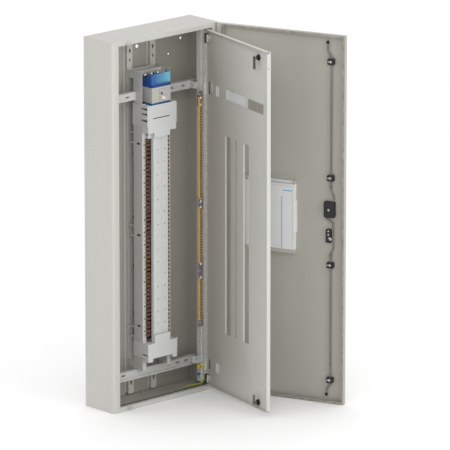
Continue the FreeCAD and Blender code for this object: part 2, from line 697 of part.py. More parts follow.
def earth_studs():
    post_stud = cyl(4, 20, EARTH_POST, V(0, -1, 0))
    post_nut = hexagon(7.5, 6.5, EARTH_POST + V(0, -3.2, 0), V(0, -1, 0))
    base_stud = cyl(4, 18, EARTH_BASE)
    base_nut = hexagon(7.5, 6.5, EARTH_BASE + V(0, 0, 3.2), Z)
    return group([fuse([post_stud, post_nut]), fuse([base_stud, base_nut]), earth_lugs()])


def ring_lug(at, normal, along):
    """A crimp lug: a flat eye about at, and a barrel that leaves in the direction along."""
    eye = cyl(9, 3, at, normal)
    tongue_end = at + along * 16
    side = normal.cross(along)
    corner = at + side * -6
    tongue = Part.makePolygon([corner, corner + side * 12, corner + side * 12 + along * 17,
                               corner + along * 17, corner])
    tongue = Part.Face(tongue).extrude(normal * 3)
    barrel = cyl(4.2, 14, tongue_end + normal * 4.2, along)
    lug = fuse([eye, tongue, barrel])
    return cut(lug, [cyl(4.1, 8, at - normal * 2, normal)])


def earth_lugs():
    post_lug = ring_lug(EARTH_POST, V(0, -1, 0), V(0, 0, -1))
    base_lug = ring_lug(EARTH_BASE, Z, V(-1, 0, 0))
    return group([post_lug, base_lug])


LEAD_R = 3.0
LEAD_POINTS = [
    V(261.5, -40.2, 62.0),
    V(261.5, -40.2, 36.0),
    V(245.0, -44.0, 18.0),
    V(222.0, -30.0, 14.0),
    V(186.0, -26.0, 17.0),
    V(150.0, -30.0, 14.0),
    V(146.0, -62.0, 7.7),
    V(196.0, -62.0, 7.7),
]


def lead_path(points):
    """Straight runs joined by tangent arcs, each as large as its two runs allow."""
    edges = []
    start = points[0]
    for before, corner, after in zip(points, points[1:], points[2:]):
        run_in = corner - before
        run_out = after - corner
        shorter = min(run_in.Length, run_out.Length)
        setback = 0.45 * shorter
        turn = run_in.getAngle(run_out)
        a = corner - V(run_in).normalize() * setback
        b = corner + V(run_out).normalize() * setback
        radius = setback / math.tan(turn / 2)
        print("lead bend radius", round(radius, 1))
        bisector = (V(run_out).normalize() - V(run_in).normalize()).normalize()
        centre = corner + bisector * math.hypot(radius, setback)
        middle = centre + (corner - centre).normalize() * radius
        edges.append(Part.LineSegment(start, a).toShape())
        edges.append(Part.Arc(a, middle, b).toShape())
        start = b
    edges.append(Part.LineSegment(start, points[-1]).toShape())
    return Part.Wire(edges)


def earth_lead():
    path = lead_path(LEAD_POINTS)
    first = (LEAD_POINTS[1] - LEAD_POINTS[0]).normalize()
    ring = Part.Wire([Part.makeCircle(LEAD_R, LEAD_POINTS[0], first)])
    lead = path.makePipeShell([ring], True, True)
    wanted = math.pi * LEAD_R ** 2 * path.Length
    print("lead length", round(path.Length, 1), "volume ratio", round(lead.Volume / wanted, 4))
    return lead


def earth_boot():
    """Insulating boot over the bonding tab on the post's left side."""
    block = rounded(box(POST[0] - 12, POST[0], -37, -21, 84, 100), X, 4.0)
    return rounded(block, Y, 2.0, lambda m: m.x < POST[0] - 5)


def cable_sleeves():
    side = cyl(5.0, 13, V(POST[0], -28, 57), V(-1, 0, 0))
    front = cyl(3.6, 9, V(270.2, POST[2], 56), V(0, -1, 0))
    return group([side, front])


# ---- outer door ---------------------------------------------------------
def door_tray(x0, x1, z0, z1, skin_y, flange, back_returns):
    """A pan-folded door leaf. back_returns gives the inward fold width at left, right, bottom, top."""
    outer = box(x0, x1, skin_y, skin_y + flange, z0, z1)
    inner = box(x0 + SHEET, x1 - SHEET, skin_y + SHEET, skin_y + flange - SHEET, z0 + SHEET, z1 - SHEET)
    left, right, bottom, top = back_returns
    mouth = box(x0 + SHEET + left, x1 - SHEET - right, skin_y + flange - 2 * SHEET, skin_y + flange + 1,
                z0 + SHEET + bottom, z1 - SHEET - top)
    return cut(outer, [inner, mouth])


def outer_door_panel():
    x0, x1 = -OUTER_W / 2, OUTER_W / 2
    z0, z1 = (HEIGHT - OUTER_H) / 2, (HEIGHT + OUTER_H) / 2
    tray = door_tray(x0, x1, z0, z1, OUTER_SKIN_Y, OUTER_FLANGE, (9.0, 31.0, 9.0, 9.0))
    fold = OUTER_SKIN_Y + OUTER_FLANGE
    notches = [box(279, x1 + 1, OUTER_SKIN_Y + SHEET, fold + 1, z - 35, z + 35) for z in OUTER_HINGE_Z]
    notches += [box(ROD_TIP_X - 17, ROD_TIP_X + 17, fold - 3, fold + 1, z, z + 10)
                for z in (KEEPER_Z[0] - 8, KEEPER_Z[1] - 2)]
    holes = [cyl(11, 10, V(LATCH_X, OUTER_SKIN_Y - 2, LATCH_Z), Y),
             cyl(9.4, 10, V(LATCH_X, OUTER_SKIN_Y - 2, LOCK_Z), Y)]
    return cut(tray, notches + holes)


def outer_hinge_knuckles():
    return group([door_knuckle(z) for z in OUTER_HINGE_Z])


def door_knuckle(z):
    """The door's half of a hinge: barrel, arm and a leaf on the inside of the skin."""
    px, py = OUTER_PIVOT.x, OUTER_PIVOT.y
    inside = OUTER_SKIN_Y + SHEET
    barrel = cyl(4.0, 16, V(px, py, z + 0.3))
    web = box(px - 2, px + 2, inside, py, z + 0.3, z + 16.3)
    leaf = box(px - 26, px + 2, inside, inside + 2, z - 12, z + 28)
    return cut(fuse([barrel, web, leaf]), [cyl(PIN_R + RUN_GAP, 20, V(px, py, z - 1))])


def outer_hinge_leaves():
    """The fixed halves of the outer door's hinges, on the face of the opening's edge."""
    px, py = OUTER_PIVOT.x, OUTER_PIVOT.y
    shapes = []
    for z in OUTER_HINGE_Z:
        barrel = cyl(4.0, 16, V(px, py, z - 16))
        web = box(px - 2, px + 2, py, FRONT - 1, z - 16, z)
        leaf = box(px - 15, px - 0.2, FRONT - 2, FRONT, z - 30, z + 30)
        shapes.append(cut(fuse([barrel, web, leaf]), [cyl(PIN_R, 20, V(px, py, z - 18))]))
    return shapes


def inner_hinge_brackets():
    """The fixed halves of the inner door's hinges, on the folded edge of the opening."""
    px, py = INNER_PIVOT.x, INNER_PIVOT.y
    shapes = []
    for z in INNER_HINGE_Z:
        barrel = cyl(4.0, 16, V(px, py, z - 16))
        web = box(px, OPEN_X, py - 1.3, py + 1.7, z - 16, z)
        leaf = box(OPEN_X - 2, OPEN_X, py - 4, py + 6, z - 18, z + 4)
        shapes.append(cut(fuse([barrel, web, leaf]), [cyl(INNER_PIN_R, 20, V(px, py, z - 18))]))
    return shapes


def hinge_leaves():
    return group(outer_hinge_leaves() + inner_hinge_brackets())


def hinge_pins():
    pins = [cyl(PIN_R, 32, V(OUTER_PIVOT.x, OUTER_PIVOT.y, z - 16)) for z in OUTER_HINGE_Z]
    pins += [cyl(INNER_PIN_R, 32, V(INNER_PIVOT.x, INNER_PIVOT.y, z - 16)) for z in INNER_HINGE_Z]
    return group(pins)


def door_gasket():
    y0 = OUTER_SKIN_Y + OUTER_FLANGE
    outer = box(-294, 272, y0, y0 + 2.6, 3, 1597)
    inner = box(-288, 265, y0 - 1, y0 + 3, 9, 1591)
    return outer.cut(inner)


POCKET = (-66.0, 163.0, 635.0, 966.0)
POCKET_DEPTH = 19.0


def document_pocket():
    x0, x1, z0, z1 = POCKET
    back_y = OUTER_SKIN_Y + SHEET
    front_y = back_y + POCKET_DEPTH
    back = box(x0, x1, back_y, back_y + 1.5, z0, z1)
    front = box(x0, x1, front_y - 2, front_y, z0, z1 - 26)
    sides = [box(x, x + 2, back_y, front_y, z0, z1 - 12) for x in (x0, x1 - 2)]
    floor = box(x0, x1, back_y, front_y, z0, z0 + 2)
    bead = box(x0 - 1, x1 + 1, front_y - 3, front_y + 0.8, z1 - 29, z1 - 26)
    clip = box(x0 - 5, x0, back_y, front_y - 4, 727, 865)
    shape = fuse([back, front, floor, bead, clip] + sides)
    notch = Part.Face(Part.makePolygon([V(x1 - 22, front_y - 5, z1 + 1), V(x1 - 2, front_y - 5, z1 + 1),
                                        V(x1 - 12, front_y - 5, z1 - 12), V(x1 - 22, front_y - 5, z1 + 1)]))
    thumb_hole = box(x1 - 16, x1 - 6, back_y - 1, back_y + 3, z1 - 10, z1 + 1)
    return cut(shape, [notch.extrude(V(0, 10, 0)), thumb_hole])


def document_sheet():
    """The folded wiring sheets kept in the pocket."""
    x0, x1, z0, z1 = POCKET
    back_y = OUTER_SKIN_Y + SHEET
    return box(x0 + 5, x1 - 5, back_y + 6, back_y + 8, z0 + 2, z1 - 16)


def rod_guides():
    guides = []
    for z in GUIDE_Z:
        block = box(ROD_X - 14, ROD_X + 16, OUTER_SKIN_Y + SHEET, LATCH_Y + 7, z - 13, z + 13)
        block = rounded(block, Y, 4.0)
        bore = cyl(ROD_R + RUN_GAP, 40, V(ROD_X, LATCH_Y, z - 20))
        guides.append(cut(block, [bore, cyl(1.9, 12, V(ROD_X + 10, LATCH_Y - 4, z), Y)]))
    return group(guides + [handle_clamp()])


def guide_screws():
    screws = [pan_screw(3.4, 1.8, 1.8, 10, V(ROD_X + 10, LATCH_Y + 7, z), Y) for z in GUIDE_Z]
    seat_y = OUTER_SKIN_Y + SHEET + 12
    screws += [pan_screw(4.2, 2.0, 1.8, 8, V(LATCH_X + 5, seat_y, z), Y) for z in CLAMP_SCREW_Z]
    return group(screws)


CLAMP_SCREW_Z = (736.0, 750.0)


HOUSING = (LATCH_X - 24, LATCH_X + 24, LATCH_Z - 34, LATCH_Z + 34)
LOCK_Z = 716.0


def latch_housing():
    x0, x1, z0, z1 = HOUSING
    back = OUTER_SKIN_Y + SHEET
    shell = rounded(box(x0, x1, back, LATCH_Y + 9, z0, z1), Y, 4.0)
    cavity = box(x0 + 2, x1 - 2, back - 1, LATCH_Y + 7, z0 + 2, z1 - 2)
    left_slot = box(LATCH_X - 22, LATCH_X - 12, LATCH_Y - 4.5, LATCH_Y + 4.5, LATCH_Z, z1 + 1)
    right_slot = box(LATCH_X + 12, LATCH_X + 22, LATCH_Y - 4.5, LATCH_Y + 4.5, z0 - 1, LATCH_Z)
    bearing = cyl(5.0 + RUN_GAP, 30, V(LATCH_X, LATCH_Y, LATCH_Z), Y)
    return cut(shell, [cavity, left_slot, right_slot, bearing])


def handle_clamp():
    back = OUTER_SKIN_Y + SHEET
    block = rounded(box(LATCH_X - 7, LATCH_X + 17, back, back + 12, 700, 758), Y, 4.0)
    bores = [cyl(1.9, 12, V(LATCH_X + 5, back + 3, z), Y) for z in CLAMP_SCREW_Z]
    return cut(block, bores + [cyl(9.4, 20, V(LATCH_X, back - 2, LOCK_Z), Y)])


def handle_dish():
    """The escutcheon plate outside the door, under the lever, with the lock's sleeve below it."""
    y1 = OUTER_SKIN_Y
    plate = rounded(box(LATCH_X - 19, LATCH_X + 19, y1 - 6, y1, 698, 872), Y, 9.0)
    spindle = cyl(10.0 + RUN_GAP, 20, V(LATCH_X, y1 - 10, LATCH_Z), Y)
    lock = cyl(8.0 + RUN_GAP, 20, V(LATCH_X, y1 - 10, LOCK_Z), Y)
    return cut(plate, [spindle, lock])


def pinion():
    """A straight-flanked pinion with backlash, cut for the two racks."""
    points = []
    pitch = 2 * math.pi / PINION_TEETH
    for i in range(PINION_TEETH):
        for r, half in ((PINION_R - 2.2, 0.24), (PINION_R + 1.5, 0.11)):
            spread = half * pitch
            angles = (-spread, spread) if r > PINION_R else (-spread,)
            for a in angles:
                angle = i * pitch + a
                points.append((r, angle))
        points.append((PINION_R - 2.2, i * pitch + 0.24 * pitch))
    ring = [V(LATCH_X + r * math.cos(a), LATCH_Y - 3, LATCH_Z + r * math.sin(a)) for r, a in points]
    return Part.Face(Part.makePolygon(ring + [ring[0]])).extrude(V(0, 6, 0))


def handle_hub():
    y1 = OUTER_SKIN_Y
    spindle = cyl(10.0, 10.1, V(LATCH_X, y1 - 6.6, LATCH_Z), Y)
    shaft = cyl(5.0, 22, V(LATCH_X, y1 + 1, LATCH_Z), Y)
    head = rounded(box(LATCH_X - 16, LATCH_X + 16, y1 - 16, y1 - 6.5, LATCH_Z - 13, LATCH_Z + 13), Y, 6.0)
    slot = box(LATCH_X + 2, LATCH_X + 20, y1 - 17, y1 - 6.8, LATCH_Z - 9.3, LATCH_Z + 9.3)
    ears_pin = cyl(2.0, 40, V(LATCH_X + 9, y1 - 12, LATCH_Z - 20), Z)
    return fuse([spindle, shaft, cut(head, [slot, ears_pin]), pinion()])


def handle_lever():
    """The lever in its unlatched position, pointing to the hinge side, with its lift pin."""
    y1 = OUTER_SKIN_Y
    px, py = LATCH_X + 9, y1 - 12
    grip = box(px, LATCH_X + 128, y1 - 17, y1 - 8, LATCH_Z - 9, LATCH_Z + 9)
    grip = rounded(grip, Y, 4.0, lambda m: m.x > px + 50)
    nose = cyl(4.2, 18, V(px, py, LATCH_Z - 9), Z)
    pin = cyl(2.0 - RUN_GAP, 25.6, V(px, py, LATCH_Z - 12.8), Z)
    hollow = box(LATCH_X + 24, LATCH_X + 122, y1 - 11, y1 - 7, LATCH_Z - 6.5, LATCH_Z + 6.5)
    return fuse([cut(grip, [hollow]), nose, pin])


def lock_cylinder():
    y1 = OUTER_SKIN_Y
    barrel = cyl(8.0, 14, V(LATCH_X, y1 - 7, LOCK_Z), Y)
    keyway = box(LATCH_X - 0.8, LATCH_X + 0.8, y1 - 8, y1 - 2, LOCK_Z - 5, LOCK_Z + 5)
    return barrel.cut(keyway)


def rack(side, z0, z1):
    """A toothed strip beside the pinion: side is -1 on the left and 1 on the right."""
    pitch = math.pi * MODULE
    face = PINION_R + 1.9
    back = LATCH_X + side * (face + 3.6)
    front = LATCH_X + side * face
    strip = box(min(back, front), max(back, front), LATCH_Y - 3, LATCH_Y + 3, z0, z1)
    teeth = []
    count = int((z1 - z0) / pitch) + 2
    for i in range(-count, count + 1):
        z = LATCH_Z + (i + 0.5) * pitch
        if z - 1.6 < z0 or z + 1.6 > z1:
            continue
        tip = LATCH_X + side * (PINION_R - 1.3)
        profile = [V(front, LATCH_Y - 3, z - 1.5), V(tip, LATCH_Y - 3, z - 0.7),
                   V(tip, LATCH_Y - 3, z + 0.7), V(front, LATCH_Y - 3, z + 1.5)]
        teeth.append(Part.Face(Part.makePolygon(profile + [profile[0]])).extrude(V(0, 6, 0)))
    return fuse([strip] + teeth)


RACK_X = PINION_R + 3.7


def upper_rod():
    x = LATCH_X - RACK_X
    toothed = rack(-1, LATCH_Z - 29, LATCH_Z + 8)
    path = [V(x, LATCH_Y, LATCH_Z + 6), V(x, LATCH_Y, 902), V(ROD_X, LATCH_Y, 926), V(ROD_X, LATCH_Y, 1502),
            V(ROD_TIP_X, LATCH_Y, 1527), V(ROD_TIP_X, LATCH_Y, 1561)]
    nut = hexagon(6.5, 9, V(ROD_X, LATCH_Y, 936), Z)
    return group([fuse([toothed, slim_start(path), nut]), rod_tip(1561, Z)])


def lower_rod():
    x = LATCH_X + RACK_X
    toothed = rack(1, LATCH_Z - 8, LATCH_Z + 29)
    path = [V(x, LATCH_Y, LATCH_Z - 6), V(x, LATCH_Y, 806), V(-240, LATCH_Y, 787), V(-240, LATCH_Y, 670),
            V(ROD_X, LATCH_Y, 654), V(ROD_X, LATCH_Y, 80), V(ROD_TIP_X, LATCH_Y, 58), V(ROD_TIP_X, LATCH_Y, 39)]
    nut = hexagon(6.5, 9, V(ROD_X, LATCH_Y, 642), Z)
    return group([fuse([toothed, slim_start(path), nut]), rod_tip(39, V(0, 0, -1))])


def slim_start(path):
    """The rod along path; its first run, inside the housing, is thinner than the rest."""
    return fuse([cyl(2.4, (path[1] - path[0]).Length, path[0], path[1] - path[0]),
                 bent_rod(path[1:], ROD_R), Part.makeSphere(ROD_R, path[1])])


def rod_tip(z0, direction):
    """A moulded roller end on a latch rod."""
    seat = V(ROD_TIP_X, LATCH_Y, z0)
    body = cyl(6.0, 8, seat - direction * 2, direction)
    nose = Part.makeCone(6.0, 3.5, 4, seat + direction * 6, direction)
    tip = fuse([body, nose])
    return cut(tip, [cyl(ROD_R, 4, seat - direction * 3, direction)])


def rod_keepers():
    """Welded tabs on the front edge. The rod ends pass through them when the door is latched."""
    tabs = []
    for z in KEEPER_Z:
        tab = box(ROD_TIP_X - 13, ROD_TIP_X + 13, LATCH_Y - 7.5, FRONT, z - 1, z + 1)
        mouth = box(ROD_TIP_X - 4.5, ROD_TIP_X + 4.5, LATCH_Y - 9, LATCH_Y, z - 3, z + 3)
        tabs.append(cut(tab, [cyl(6.6, 6, V(ROD_TIP_X, LATCH_Y, z - 3), Z), mouth]))
    return group(tabs)


# ---- inner door ---------------------------------------------------------
WINDOW_Z = (278.0, 1142.0)
WINDOW_DX = 74.0
WINDOW_W = 45.0
UPPER_ROW = (1297.0, 1350.0)
LOCK_X = INNER_X1 - 425.0
INNER_LOCK_Z = (46.0, 1536.0)
CAM_REACH = (-36.0, 48.0)


def window_frame(x, z0, z1, width):
    """The outward folded edge round a window."""
    y0 = INNER_SKIN_Y - 5.5
    y1 = INNER_SKIN_Y + SHEET
    outer = box(x - width / 2 - 1.2, x + width / 2 + 1.2, y0, y1, z0 - 1.2, z1 + 1.2)
    return outer.cut(box(x - width / 2, x + width / 2, y0 - 1, y1 + 1, z0, z1))


def inner_windows():
    """Centre x, width, z range of every open cut-out in the leaf."""
    rows = [(BOARD_X + s * WINDOW_DX, WINDOW_W, WINDOW_Z) for s in (-1, 1)]
    rows.append((INNER_X1 - 31.5, 37.0, UPPER_ROW))
    rows.append((INNER_X1 - 398.0, 126.0, (1297.0, 1341.0)))
    rows.append((INNER_X1 - 29.0, 32.0, (91.0, 133.0)))
    return rows


def blank_seats():
    """Centre x, width, z range of the cut-outs that a blanking plate closes."""
    return [(BOARD_X + 6, 154.0, (1300.0, 1347.0)),
            (INNER_X1 - 91.5, 21.0, (1300.0, 1344.0)),
            (INNER_X1 - 90.0, 20.0, (91.0, 135.0))]


def inner_door_panel():
    skin = INNER_SKIN_Y
    tray = door_tray(INNER_X0, INNER_X1, INNER_Z0, INNER_Z1, skin, INNER_FLANGE, (0, 0, 0, 0))
    cuts = [box(INNER_X0 + SHEET, INNER_X1 - SHEET, skin + SHEET, skin + 40,
                INNER_Z0 + SHEET, INNER_Z1 - SHEET)]
    cuts += [box(x - 7, x + 7, skin + 5, skin + 40, z - 7, z + 7)
             for x in (INNER_X0, INNER_X1) for z in (INNER_Z0, INNER_Z1)]
    for x, width, (z0, z1) in inner_windows() + blank_seats():
        cuts.append(box(x - width / 2, x + width / 2, skin - 9, skin + 9, z0, z1))
    for z in INNER_HINGE_Z:
        cuts.append(box(240, INNER_X1 + 1, skin - 1, skin + 40, max(z - 22, INNER_Z0 - 1), z + 22))
    cuts += [cyl(9.4, 12, V(LOCK_X, skin - 6, z), Y) for z in INNER_LOCK_Z]
    cuts.append(cyl(3.5, 12, V(INNER_X0 - 6, skin + 10, 1505), X))
    rib_x = BOARD_X + 7
    rib = rounded(box(rib_x - 6.5, rib_x + 6.5, skin - 5, skin + 1, *WINDOW_Z), Z, 2.0,
                  lambda m: m.y < skin - 3)
    groove = box(rib_x - 5, rib_x + 5, skin - 3.5, skin + 5, WINDOW_Z[0] + 2, WINDOW_Z[1] - 2)
    leaf = cut(fuse([tray, rib]), cuts + [groove])
    return fuse([leaf] + [window_frame(x, z[0], z[1], width) for x, width, z in inner_windows()[:2]])


def inner_hinge_knuckles():
    return group([inner_knuckle(z) for z in INNER_HINGE_Z])


def inner_knuckle(z):
    """The inner door's half of a hinge, with its leaf on the back of the skin."""
    px, py = INNER_PIVOT.x, INNER_PIVOT.y
    inside = INNER_SKIN_Y + SHEET
    barrel = cyl(4.0, 16, V(px, py, z + 0.3))
    leaf = box(px - 24, px, inside, inside + 2, z + 0.3, z + 16.3)
    return cut(fuse([barrel, leaf]), [cyl(INNER_PIN_R + RUN_GAP, 20, V(px, py, z - 1))])


def blanking_plate(x, width, z0, z1):
    half = width / 2
    front = INNER_SKIN_Y
    plug = box(x - half + 0.2, x + half - 0.2, front - 0.5, front + 5, z0 + 0.2, z1 - 0.2)
    well = box(x - half + 2, x + half - 2, front + 1.5, front + 6, z0 + 2, z1 - 2)
    bezel = rounded(box(x - half - 2.5, x + half + 2.5, front - 1.8, front, z0 - 2.5, z1 + 2.5), Y, 2.0)
    return fuse([plug.cut(well), bezel])


def main_blank():
    x, width, (z0, z1) = blank_seats()[0]
    plate = blanking_plate(x, width, z0, z1)
    lines = [box(x - 62, x + 62, INNER_SKIN_Y - 2, INNER_SKIN_Y - 1.3, z, z + 1) for z in (z0 + 4, z1 - 5)]
    return cut(plate, lines)


def blanking_plates():
    small = [blanking_plate(x, width, z0, z1) for x, width, (z0, z1) in blank_seats()[1:]]
    return group([main_blank()] + small)


def lock_housings():
    housings = []
    for z in INNER_LOCK_Z:
        barrel = cyl(9.2, 12, V(LOCK_X, INNER_SKIN_Y - 0.5, z), Y)
        head = cyl(12, 2.5, V(LOCK_X, INNER_SKIN_Y - 2.5, z), Y)
        nut = hexagon(13.5, 5, V(LOCK_X, INNER_SKIN_Y + SHEET, z), Y)
        bore = cyl(5.5 + RUN_GAP, 30, V(LOCK_X, INNER_SKIN_Y - 5, z), Y)
        housings.append(cut(fuse([barrel, head, nut]), [bore]))
    return group(housings)


CAM_Y = (-61.5, -58.5)


def lock_cam(z, reach):
    """Core, shaft and cam blade of a turn lock. A positive reach points the blade down."""
    core = cyl(5.5, 14, V(LOCK_X, INNER_SKIN_Y - 1.5, z), Y)
    shaft = cyl(4.0, CAM_Y[1] + 3 - INNER_SKIN_Y, V(LOCK_X, INNER_SKIN_Y, z), Y)
    socket = box(LOCK_X - 2.5, LOCK_X + 2.5, INNER_SKIN_Y - 2, INNER_SKIN_Y + 4, z - 2.5, z + 2.5)
    z_low, z_high = sorted((z + math.copysign(8, reach), z - reach))
    blade = rounded(box(LOCK_X - 8, LOCK_X + 8, CAM_Y[0], CAM_Y[1], z_low, z_high), Y, 5.0)
    return cut(fuse([core, shaft, blade]), [socket])



def inner_cam_top():
    return lock_cam(INNER_LOCK_Z[1], CAM_REACH[1])


def inner_cam_bottom():
    return lock_cam(INNER_LOCK_Z[0], CAM_REACH[0])


def busbar_l1():
    return busbar(0)


def busbar_l2():
    return busbar(1)


def busbar_l3():
    return busbar(2)


# ---- output -------------------------------------------------------------
def identity(shape):
    return shape


NODES = [
    (enclosure_body, identity),
    (top_plate, identity),
    (bottom_plate, identity),
    (opening_gasket, identity),
    (rear_rails, identity),
    (upper_arms, identity),
    (lower_cross_rail, identity),
    (hinge_post, identity),
    (post_brackets, identity),
    (frame_screws, identity),
    (cable_clamp, identity),
    (chassis, identity),
    (switch_plate, identity),
    (busbar_l1, identity),
    (busbar_l2, identity),
    (busbar_l3, identity),
    (busbar_supports, identity),
    (busbar_cover, identity),
    (cover_rivets, identity),
    (top_shroud, identity),
    (bottom_shroud, identity),
    (main_switch_case, identity),
    (main_switch_facia, identity),
    (switch_cover_upper, identity),
    (switch_cover_lower, identity),
    (switch_terminals, identity),
    (switch_screws, identity),
    (switch_links, identity),
    (main_switch_toggle, identity),
    (link_bars, identity),
    (link_bar_carriers, identity),
    (link_bar_screws, identity),
    (earth_studs, identity),
    (earth_lead, identity),
    (earth_boot, identity),
    (cable_sleeves, identity),
    (hinge_leaves, identity),
    (hinge_pins, identity),
    (rod_keepers, identity),
    (outer_door_panel, open_outer),
    (outer_hinge_knuckles, open_outer),
    (door_gasket, open_outer),
    (document_pocket, open_outer),
    (document_sheet, open_outer),
    (rod_guides, open_outer),
    (guide_screws, open_outer),
    (latch_housing, open_outer),
    (handle_dish, open_outer),
    (handle_hub, open_outer),
    (handle_lever, open_outer),
    (lock_cylinder, open_outer),
    (upper_rod, open_outer),
    (lower_rod, open_outer),
    (inner_door_panel, open_inner),
    (inner_hinge_knuckles, open_inner),
    (blanking_plates, open_inner),
    (lock_housings, open_inner),
    (inner_cam_top, open_inner),
    (inner_cam_bottom, open_inner),
]


def main():
    os.makedirs("parts", exist_ok=True)
    for make, place in NODES:
        name = make.__name__
        shape = place(make())
        shape.exportStep("parts/" + name + ".step")
        print(name, len(shape.Solids), "solids", shape.isValid(), round(shape.Volume / 1000.0, 1), "cm3")


main()
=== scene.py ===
"""Looks of the switchboard cabinet: materials, small visual pieces, studio and camera."""
import bmesh
import bpy
import json
import math
from mathutils import Matrix, Vector


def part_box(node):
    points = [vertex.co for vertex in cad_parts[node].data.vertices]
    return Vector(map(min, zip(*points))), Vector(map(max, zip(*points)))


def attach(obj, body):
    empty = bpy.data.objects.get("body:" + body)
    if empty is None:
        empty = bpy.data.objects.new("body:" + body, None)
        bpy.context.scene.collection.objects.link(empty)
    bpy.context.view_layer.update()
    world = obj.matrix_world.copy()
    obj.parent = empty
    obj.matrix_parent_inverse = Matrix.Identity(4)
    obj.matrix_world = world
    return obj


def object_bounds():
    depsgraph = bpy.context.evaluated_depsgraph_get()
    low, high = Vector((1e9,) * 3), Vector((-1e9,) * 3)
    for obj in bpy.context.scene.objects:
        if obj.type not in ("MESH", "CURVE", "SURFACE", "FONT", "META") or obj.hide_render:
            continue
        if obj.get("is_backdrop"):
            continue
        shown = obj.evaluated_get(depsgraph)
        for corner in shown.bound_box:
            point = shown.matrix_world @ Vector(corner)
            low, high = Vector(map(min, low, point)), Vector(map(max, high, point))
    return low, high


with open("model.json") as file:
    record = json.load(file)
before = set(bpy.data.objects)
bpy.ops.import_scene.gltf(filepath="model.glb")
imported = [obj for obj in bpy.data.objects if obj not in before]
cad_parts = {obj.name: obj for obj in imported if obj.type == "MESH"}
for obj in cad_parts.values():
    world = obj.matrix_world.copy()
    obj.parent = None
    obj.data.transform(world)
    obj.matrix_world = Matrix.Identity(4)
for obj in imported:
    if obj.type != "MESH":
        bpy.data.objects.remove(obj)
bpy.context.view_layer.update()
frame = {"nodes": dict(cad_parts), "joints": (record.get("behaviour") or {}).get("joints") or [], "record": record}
MM = 0.001


# ---- materials ------------------------------------------------------------
# How a noise is stretched: evenly, or drawn out along the height.
EVEN = (1, 1, 1)
UPRIGHT = (1, 1, 0.06)
# How close together the soft patches of tone lie on each kind of surface.
PANEL_PATCHES = 2.2
PLASTIC_PATCHES = 9.0
METAL_PATCHES = 12.0
GLOSS_PATCHES = 14.0
# The part of a noise's range that is spread over a whole effect.
NOISE_RANGE = (0.3, 0.7)
# The pointiness that counts as a worn edge, from its start to full wear.
EDGE_RANGE = (0.52, 0.60)
# How much lighter a worn edge of painted sheet or plastic is than the rest.
EDGE_GAIN = 1.08
# Two corners of the room inside the cabinet's sheet, in millimetres; the cabinet paint gets painted shade within
# them.
INSIDE_SHADE_BOX = ((-298.7, -71.0, 1.3), (298.7, 88.7, 1598.7))


def linear(rgb):
    """An 8-bit screen colour as a linear RGBA value."""
    out = []
    for value in rgb:
        c = value / 255
        out.append(c / 12.92 if c <= 0.04045 else ((c + 0.055) / 1.055) ** 2.4)
    return (*out, 1.0)


def lighter(rgb, gain, lift=0):
    """The linear value of a screen colour made lighter, or darker with a gain under 1."""
    return linear([min(255, c * gain + lift) for c in rgb])


